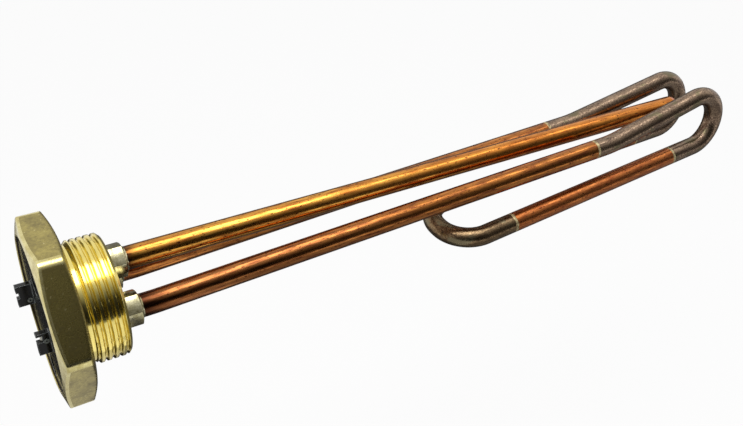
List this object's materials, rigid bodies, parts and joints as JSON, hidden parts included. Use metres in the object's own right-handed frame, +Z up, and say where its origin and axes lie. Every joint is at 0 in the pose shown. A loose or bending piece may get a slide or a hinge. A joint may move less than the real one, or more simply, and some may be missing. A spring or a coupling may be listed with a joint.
{
  "type": "screw plug immersion heater",
  "caption": "Immersion heater with a brass hexagon screw plug, a copper sheathed element bent into hairpins and a straight copper sensor pocket.",
  "frame": {"origin": "centre of the plug's sealing shoulder, where the hexagon meets the thread", "axes": "+X along the plug's axis from the hexagon to the far end of the element, +Z up through the sensor pocket, with two flats of the hexagon level"},
  "size_m": [0.3075, 0.0644, 0.0564],
  "materials": {
    "forged_brass": "forged hexagon, dulled, with a bright turned thread",
    "tinned_collar": "hexagon collar, tinned and soldered",
    "pocket_copper": "drawn copper tube, lightly tarnished",
    "sheath_copper": "drawn copper tube, bends left grey brown by annealing",
    "magnesia": "packed powder",
    "coil_wire": "oxidised resistance wire",
    "pin_steel": "drawn steel",
    "silicone_seal": "cured silicone",
    "bead_ceramic": "fired, unglazed",
    "moulded_black": "moulded phenolic",
    "tinned_brass": "tin plated"
  },
  "bodies": {
    "root": {"plug_body": "forged_brass", "pocket_collar": "tinned_collar", "front_leg_collar": "tinned_collar", "rear_leg_collar": "tinned_collar", "pocket_tube": "pocket_copper", "element_sheath": "sheath_copper", "magnesia_filling": "magnesia", "heating_coil": "coil_wire", "front_cold_pin": "pin_steel", "rear_cold_pin": "pin_steel", "front_end_seal": "silicone_seal", "rear_end_seal": "silicone_seal", "front_pin_bead": "bead_ceramic", "rear_pin_bead": "bead_ceramic", "terminal_insulator": "moulded_black", "front_terminal_tab": "tinned_brass", "rear_terminal_tab": "tinned_brass", "front_terminal_rivet": "tinned_brass", "rear_terminal_rivet": "tinned_brass", "earth_washer": "tinned_brass", "earth_screw": "tinned_brass"}
  },
  "joints": []
}
